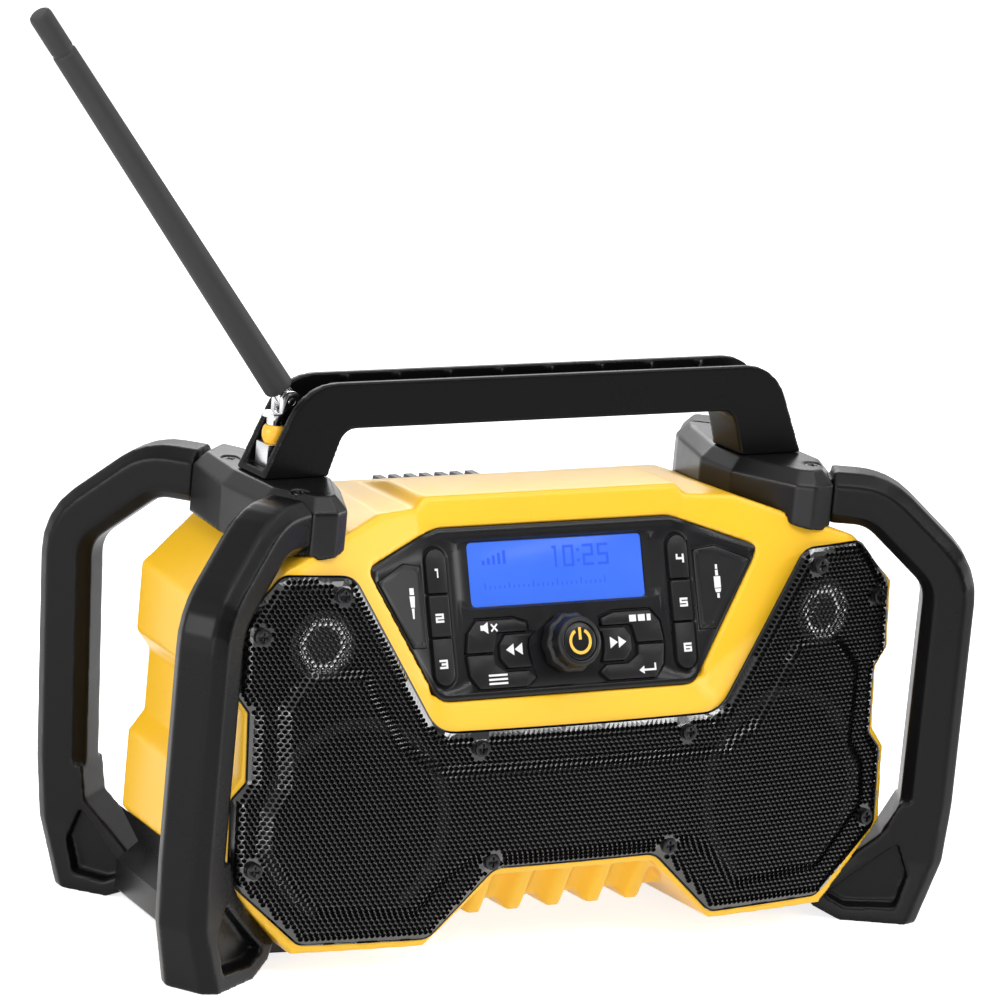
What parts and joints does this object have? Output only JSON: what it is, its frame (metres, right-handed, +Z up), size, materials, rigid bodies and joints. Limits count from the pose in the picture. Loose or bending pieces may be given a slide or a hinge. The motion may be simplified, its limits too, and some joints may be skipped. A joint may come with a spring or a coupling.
{
  "type": "jobsite radio",
  "caption": "Rugged jobsite radio in a bar guard frame, with a carry handle, folding aerial, sloped control panel, perforated speaker grille and slide-on battery pack.",
  "frame": {"origin": "on the ground plane, midway between the four guard feet", "axes": "+X to the right seen from the front, -Y to the front, +Z up"},
  "size_m": [0.4138, 0.1686, 0.3628],
  "materials": {
    "yellow_shell": "satin moulded plastic",
    "grille_steel": "black powder coat on perforated sheet",
    "black_screw": "blackened steel",
    "black_plastic": "fine-textured black plastic",
    "display": "backlit blue display window",
    "white_plastic": "moulded light frame",
    "circuit_board": "solder mask",
    "soft_grip": "soft black rubber",
    "plated_steel": "bright plated",
    "dark_plastic": "textured charcoal plastic",
    "grey_plastic": "textured grey plastic",
    "contact_brass": "plated contact blades",
    "frame_steel": "stamped and painted",
    "cone_paper": "coated pulp cone",
    "magnet": "ferrite ring",
    "tweeter": "satin ring and dome",
    "guard_rubber": "moulded over a stiff core"
  },
  "bodies": {
    "radio": {"front_housing": "yellow_shell", "rear_housing": "yellow_shell", "speaker_grille": "grille_steel", "grille_screws": "black_screw", "control_bezel": "black_plastic", "lcd_lens": "display", "lcd_module": "white_plastic", "control_board": "circuit_board", "main_board": "circuit_board", "encoder": "plated_steel", "usb_socket": "plated_steel", "aux_socket": "black_plastic", "woofer_frame_left": "frame_steel", "woofer_frame_right": "frame_steel", "woofer_cone_left": "cone_paper", "woofer_cone_right": "cone_paper", "woofer_magnet_left": "magnet", "woofer_magnet_right": "magnet", "tweeter_left": "tweeter", "tweeter_right": "tweeter", "guard_front_left": "guard_rubber", "guard_front_right": "guard_rubber", "guard_rear_left": "guard_rubber", "guard_rear_right": "guard_rubber", "side_rail_left": "dark_plastic", "side_rail_right": "dark_plastic", "corner_block_left": "dark_plastic", "corner_block_right": "dark_plastic", "block_screws": "black_screw", "handle": "dark_plastic", "antenna_post": "plated_steel", "antenna_collar": "yellow_shell", "antenna_knuckle": "plated_steel", "antenna_pin": "plated_steel", "battery_dock": "dark_plastic", "battery_terminals": "contact_brass", "housing_screws": "black_screw", "dc_inlet": "black_plastic"},
    "key_1": {"key_1": "soft_grip"},
    "key_2": {"key_2": "soft_grip"},
    "key_3": {"key_3": "soft_grip"},
    "key_4": {"key_4": "soft_grip"},
    "key_5": {"key_5": "soft_grip"},
    "key_6": {"key_6": "soft_grip"},
    "key_mute": {"key_mute": "soft_grip"},
    "key_menu": {"key_menu": "soft_grip"},
    "key_mode": {"key_mode": "soft_grip"},
    "key_enter": {"key_enter": "soft_grip"},
    "key_seek_back": {"key_seek_back": "soft_grip"},
    "key_seek_forward": {"key_seek_forward": "soft_grip"},
    "knob": {"volume_knob": "soft_grip", "knob_shaft": "plated_steel"},
    "power_button": {"power_button": "black_plastic"},
    "usb_cover": {"usb_cover": "soft_grip"},
    "aux_cover": {"aux_cover": "soft_grip"},
    "aerial": {"antenna_blade": "plated_steel", "antenna_whip": "soft_grip"},
    "battery": {"battery_pack": "dark_plastic"},
    "battery_latch": {"battery_latch": "grey_plastic"}
  },
  "joints": [
    {"name": "key_1_press", "type": "slide", "parent": "radio", "child": "key_1", "axis": [0, 0.9432, -0.3322], "range_m": [0, 0.001], "stiffness_N_per_m": 400, "springref_m": -0.0008},
    {"name": "key_2_press", "type": "slide", "parent": "radio", "child": "key_2", "axis": [0, 0.9432, -0.3322], "range_m": [0, 0.001], "stiffness_N_per_m": 400, "springref_m": -0.0008},
    {"name": "key_3_press", "type": "slide", "parent": "radio", "child": "key_3", "axis": [0, 0.9432, -0.3322], "range_m": [0, 0.001], "stiffness_N_per_m": 400, "springref_m": -0.0008},
    {"name": "key_4_press", "type": "slide", "parent": "radio", "child": "key_4", "axis": [0, 0.9432, -0.3322], "range_m": [0, 0.001], "stiffness_N_per_m": 400, "springref_m": -0.0008},
    {"name": "key_5_press", "type": "slide", "parent": "radio", "child": "key_5", "axis": [0, 0.9432, -0.3322], "range_m": [0, 0.001], "stiffness_N_per_m": 400, "springref_m": -0.0008},
    {"name": "key_6_press", "type": "slide", "parent": "radio", "child": "key_6", "axis": [0, 0.9432, -0.3322], "range_m": [0, 0.001], "stiffness_N_per_m": 400, "springref_m": -0.0008},
    {"name": "key_mute_press", "type": "slide", "parent": "radio", "child": "key_mute", "axis": [0, 0.9432, -0.3322], "range_m": [0, 0.001], "stiffness_N_per_m": 400, "springref_m": -0.0008},
    {"name": "key_menu_press", "type": "slide", "parent": "radio", "child": "key_menu", "axis": [0, 0.9432, -0.3322], "range_m": [0, 0.001], "stiffness_N_per_m": 400, "springref_m": -0.0008},
    {"name": "key_mode_press", "type": "slide", "parent": "radio", "child": "key_mode", "axis": [0, 0.9432, -0.3322], "range_m": [0, 0.001], "stiffness_N_per_m": 400, "springref_m": -0.0008},
    {"name": "key_enter_press", "type": "slide", "parent": "radio", "child": "key_enter", "axis": [0, 0.9432, -0.3322], "range_m": [0, 0.001], "stiffness_N_per_m": 400, "springref_m": -0.0008},
    {"name": "key_seek_back_press", "type": "slide", "parent": "radio", "child": "key_seek_back", "axis": [0, 0.9432, -0.3322], "range_m": [0, 0.001], "stiffness_N_per_m": 400, "springref_m": -0.0008},
    {"name": "key_seek_forward_press", "type": "slide", "parent": "radio", "child": "key_seek_forward", "axis": [0, 0.9432, -0.3322], "range_m": [0, 0.001], "stiffness_N_per_m": 400, "springref_m": -0.0008},
    {"name": "volume_turn", "type": "hinge", "parent": "radio", "child": "knob", "pos_m": [0, -0.04059, 0.1199], "axis": [0, -0.9432, 0.3322], "continuous": true},
    {"name": "power_press", "type": "slide", "parent": "knob", "child": "power_button", "axis": [0, 0.9432, -0.3322], "range_m": [0, 0.001], "stiffness_N_per_m": 400, "springref_m": -0.0008},
    {"name": "usb_cover_hinge", "type": "hinge", "parent": "radio", "child": "usb_cover", "pos_m": [-0.06294, -0.0355, 0.13582], "axis": [0, 0.3322, 0.9432], "range_deg": [0, 110]},
    {"name": "aux_cover_hinge", "type": "hinge", "parent": "radio", "child": "aux_cover", "pos_m": [0.06294, -0.0355, 0.13582], "axis": [0, -0.3322, -0.9432], "range_deg": [0, 110]},
    {"name": "aerial_fold", "type": "hinge", "parent": "radio", "child": "aerial", "pos_m": [-0.1105, 0, 0.2115], "axis": [0, 1, 0], "range_deg": [-20, 128.6]},
    {"name": "battery_slide", "type": "slide", "parent": "radio", "child": "battery", "axis": [0, 0, 1], "range_m": [0, 0.06]},
    {"name": "latch_press", "type": "slide", "parent": "battery", "child": "battery_latch", "axis": [0, 0, -1], "range_m": [0, 0.0025], "stiffness_N_per_m": 800, "springref_m": -0.002}
  ]
}
